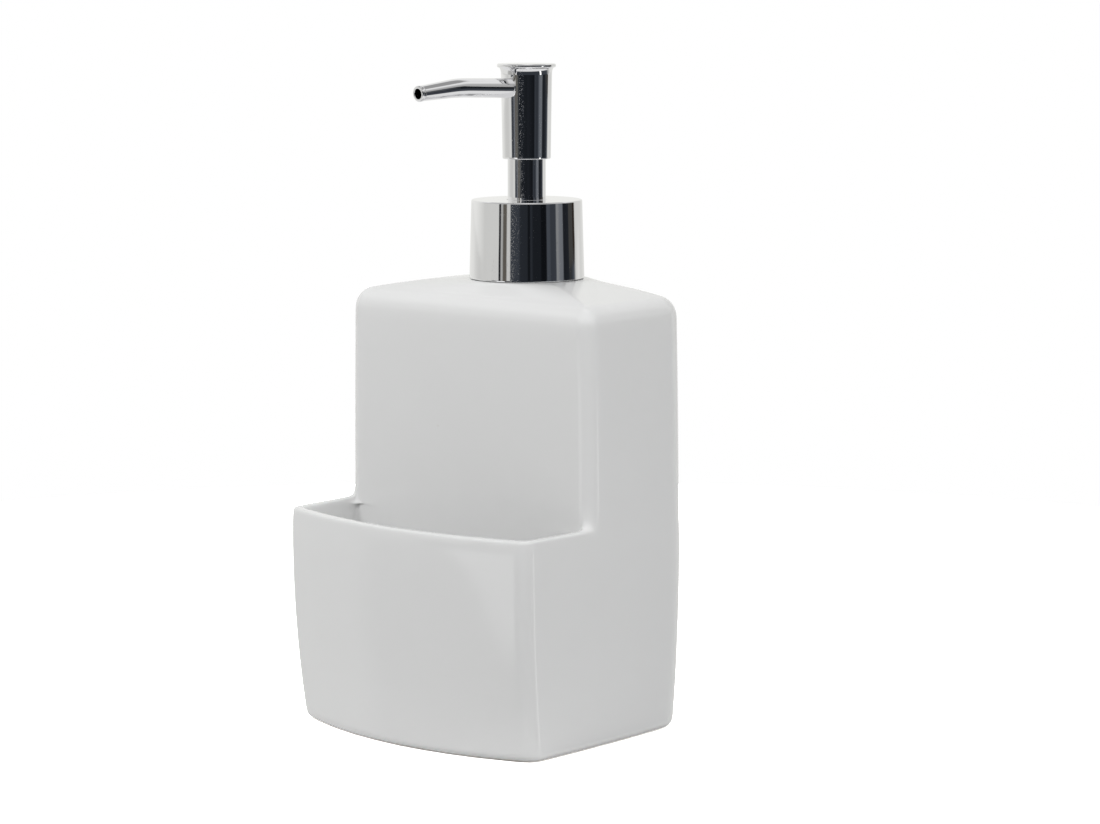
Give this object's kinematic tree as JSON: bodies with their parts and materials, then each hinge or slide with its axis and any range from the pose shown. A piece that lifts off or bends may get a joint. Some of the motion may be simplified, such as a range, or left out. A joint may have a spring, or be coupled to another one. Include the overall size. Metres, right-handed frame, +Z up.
{
  "type": "soap pump caddy",
  "caption": "Glazed ceramic soap bottle with an open sponge well in front and a chromed pump with a long straight spout.",
  "frame": {"origin": "centre of the overall box's plan, on the surface the foot rests on", "axes": "+Z up, the sponge well faces -Y, +X to the right seen from the front"},
  "size_m": [0.0972, 0.086, 0.194],
  "materials": {
    "glaze": "glossy white glaze",
    "chrome": "polished chrome plate",
    "white_plastic": "moulded white plastic",
    "clear_plastic": "translucent natural plastic",
    "rubber": "soft dark rubber",
    "steel": "bright drawn stainless steel"
  },
  "bodies": {
    "bottle": {"ceramic_body": "glaze", "neck_seal": "rubber", "neck_adapter": "white_plastic"},
    "pump_body": {"flange_gasket": "rubber", "pump_chamber": "clear_plastic", "guide_nut": "white_plastic", "ball_cage": "white_plastic", "dip_tube": "clear_plastic", "return_spring": "steel"},
    "closure": {"screw_cap": "white_plastic", "collar_shell": "chrome"},
    "ball": {"inlet_ball": "steel"},
    "piston": {"piston_seal": "white_plastic", "spring_cup": "white_plastic"},
    "head": {"piston_rod": "white_plastic", "stem_sleeve": "chrome", "head_core": "white_plastic", "head_shell": "chrome", "head_cap": "chrome", "nozzle_tube": "chrome", "nozzle_tip": "chrome"}
  },
  "joints": [
    {"name": "pump_lift_out", "type": "slide", "parent": "bottle", "child": "pump_body", "axis": [0, 0, 1], "range_m": [0, 0.14]},
    {"name": "collar_turn", "type": "hinge", "parent": "pump_body", "child": "closure", "pos_m": [0, 0.0182, 0.14], "axis": [0, 0, 1], "range_deg": [0, 540]},
    {"name": "ball_lift", "type": "slide", "parent": "pump_body", "child": "ball", "axis": [0, 0, 1], "range_m": [0, 0.0015]},
    {"name": "head_press", "type": "slide", "parent": "pump_body", "child": "piston", "axis": [0, 0, 1], "range_m": [-0.0105, 0], "stiffness_N_per_m": 300, "springref_m": 0.02, "deforming": ["return_spring"]},
    {"name": "head_swivel", "type": "hinge", "parent": "piston", "child": "head", "pos_m": [0, 0.0182, 0.17], "axis": [0, 0, 1], "continuous": true}
  ]
}
